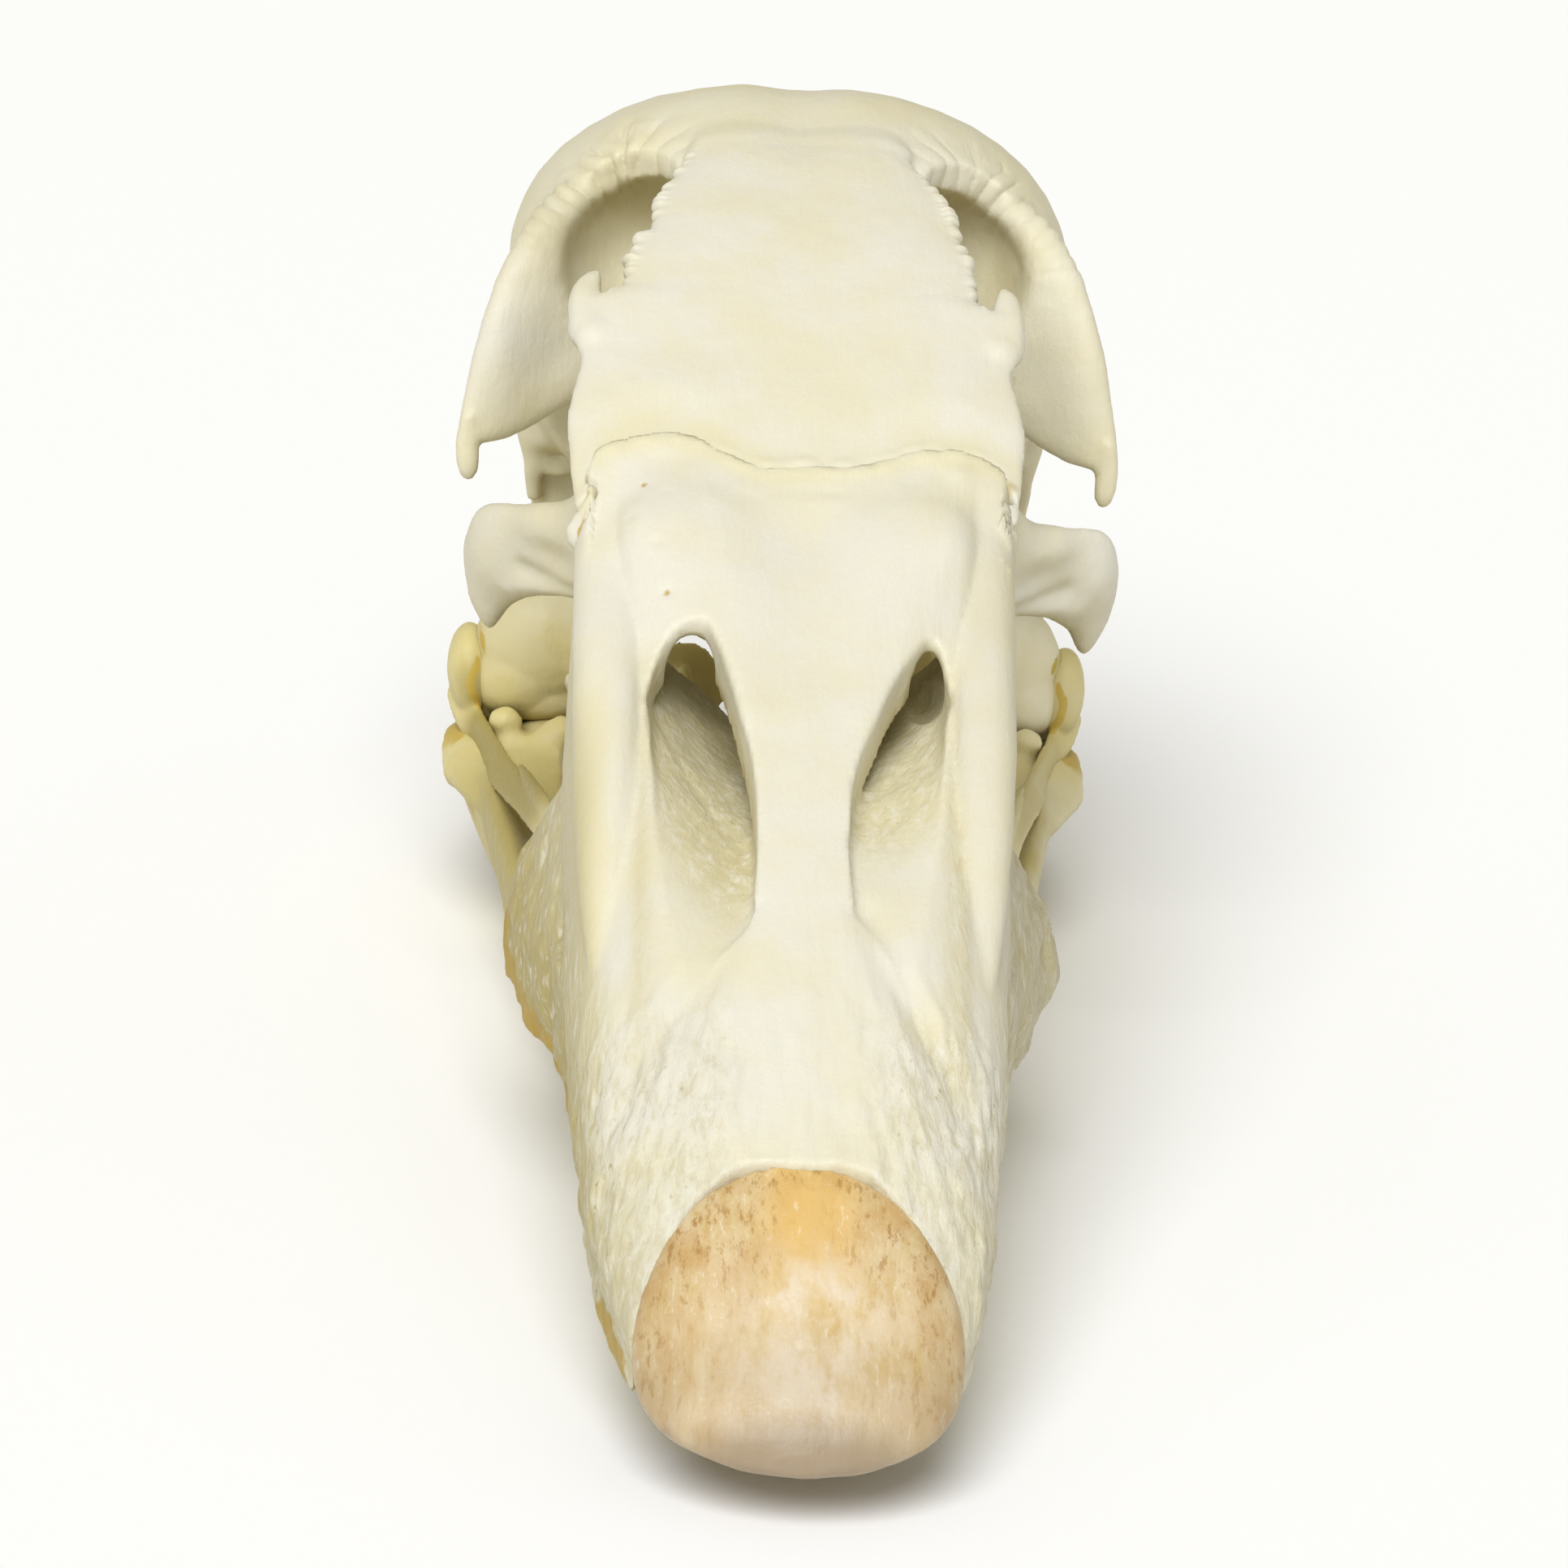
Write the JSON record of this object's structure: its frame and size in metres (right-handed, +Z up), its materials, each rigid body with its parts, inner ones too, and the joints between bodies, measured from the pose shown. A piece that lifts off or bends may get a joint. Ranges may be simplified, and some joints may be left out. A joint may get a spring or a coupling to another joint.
{
  "type": "goose skull",
  "caption": "Cleaned goose skull with its lower jaw closed under the bill, life size, resting on the jaw; cranium, bony bill, horny nail and jaw bones as separate pieces.",
  "frame": {"origin": "middle of the bounding box at its bottom, at the level that the lower jaw rests on", "axes": "+Z up, -Y towards the tip of the bill, +X towards the skull's own left side; the YZ plane is the plane of symmetry"},
  "size_m": [0.0408, 0.1194, 0.0531],
  "materials": {
    "bone": "cleaned dry bone, satin, ivory white with faint yellow in the hollows",
    "deep_bone": "cleaned dry bone, satin, yellower than the outer bones",
    "horn": "dry horn, smooth and slightly glossy, tan to orange with brown flecks"
  },
  "bodies": {
    "root": {"cranium": "bone", "upper_bill": "bone", "nail": "horn", "lacrimal_left": "bone", "lacrimal_right": "bone", "quadrate_left": "deep_bone", "quadrate_right": "deep_bone", "jugal_left": "bone", "jugal_right": "bone", "pterygoid_left": "deep_bone", "pterygoid_right": "deep_bone", "palatine_left": "deep_bone", "palatine_right": "deep_bone", "vomer": "deep_bone", "mandible": "deep_bone"}
  },
  "joints": []
}
